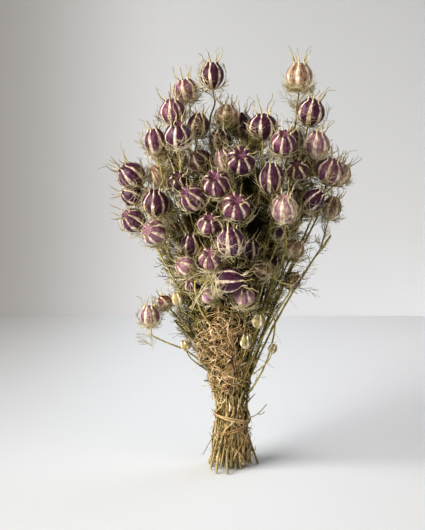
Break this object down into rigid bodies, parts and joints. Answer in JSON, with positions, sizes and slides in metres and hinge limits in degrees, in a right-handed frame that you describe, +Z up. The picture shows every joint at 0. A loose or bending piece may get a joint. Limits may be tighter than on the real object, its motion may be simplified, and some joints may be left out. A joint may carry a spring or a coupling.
{
  "type": "dried nigella seed pod bouquet",
  "caption": "Dried bouquet of ribbed nigella seed pods with curved horns on thin stems, tied with raffia and standing on its cut stem ends.",
  "frame": {"origin": "centre of the middle stem's cut end, on the surface that the bunch stands on", "axes": "+Z up along the bunch, -Y to the side that faces the viewer, +X to the viewer's right"},
  "size_m": [0.2614, 0.21, 0.4274],
  "materials": {
    "pod_plum": "dry papery capsule wall, dark plum panels between cream ribs",
    "pod_mauve": "dry papery capsule wall, mauve panels between cream ribs",
    "pod_blush": "dry papery capsule wall, cream flushed with pale purple",
    "pod_straw": "dry papery capsule wall, straw with faint purple streaks",
    "pod_brown": "dry papery capsule wall, brown between straw ribs",
    "stem": "dry ribbed stems and thready leaves, olive to straw and tan",
    "raffia": "flat raffia strands, cream to tan, slightly glossy along the fibre"
  },
  "bodies": {
    "root": {"pod_01": "pod_plum", "pod_02": "pod_blush", "pod_03": "pod_mauve", "pod_04": "pod_plum", "pod_05": "pod_mauve", "pod_06": "pod_brown", "pod_07": "pod_straw", "pod_08": "pod_brown", "pod_09": "pod_brown", "pod_10": "pod_plum", "pod_11": "pod_straw", "pod_12": "pod_blush", "pod_13": "pod_plum", "pod_14": "pod_straw", "pod_15": "pod_plum", "pod_16": "pod_plum", "pod_17": "pod_mauve", "pod_18": "pod_blush", "pod_19": "pod_brown", "pod_20": "pod_mauve", "pod_21": "pod_plum", "pod_22": "pod_plum", "pod_23": "pod_blush", "pod_24": "pod_brown", "pod_25": "pod_plum", "pod_26": "pod_mauve", "pod_27": "pod_mauve", "pod_28": "pod_mauve", "pod_29": "pod_plum", "pod_30": "pod_plum", "pod_31": "pod_blush", "pod_32": "pod_blush", "pod_33": "pod_brown", "pod_34": "pod_plum", "pod_35": "pod_brown", "pod_36": "pod_blush", "pod_37": "pod_plum", "pod_38": "pod_straw", "pod_39": "pod_plum", "pod_40": "pod_straw", "pod_41": "pod_plum", "pod_42": "pod_plum", "pod_43": "pod_straw", "pod_44": "pod_plum", "pod_45": "pod_blush", "pod_46": "pod_blush", "pod_47": "pod_plum", "pod_48": "pod_blush", "pod_49": "pod_brown", "pod_50": "pod_mauve", "pod_51": "pod_mauve", "pod_52": "pod_plum", "pod_53": "pod_plum", "pod_54": "pod_blush", "pod_55": "pod_plum", "pod_56": "pod_straw", "pod_57": "pod_mauve", "pod_58": "pod_plum", "stems": "stem", "tie": "raffia"}
  },
  "joints": []
}
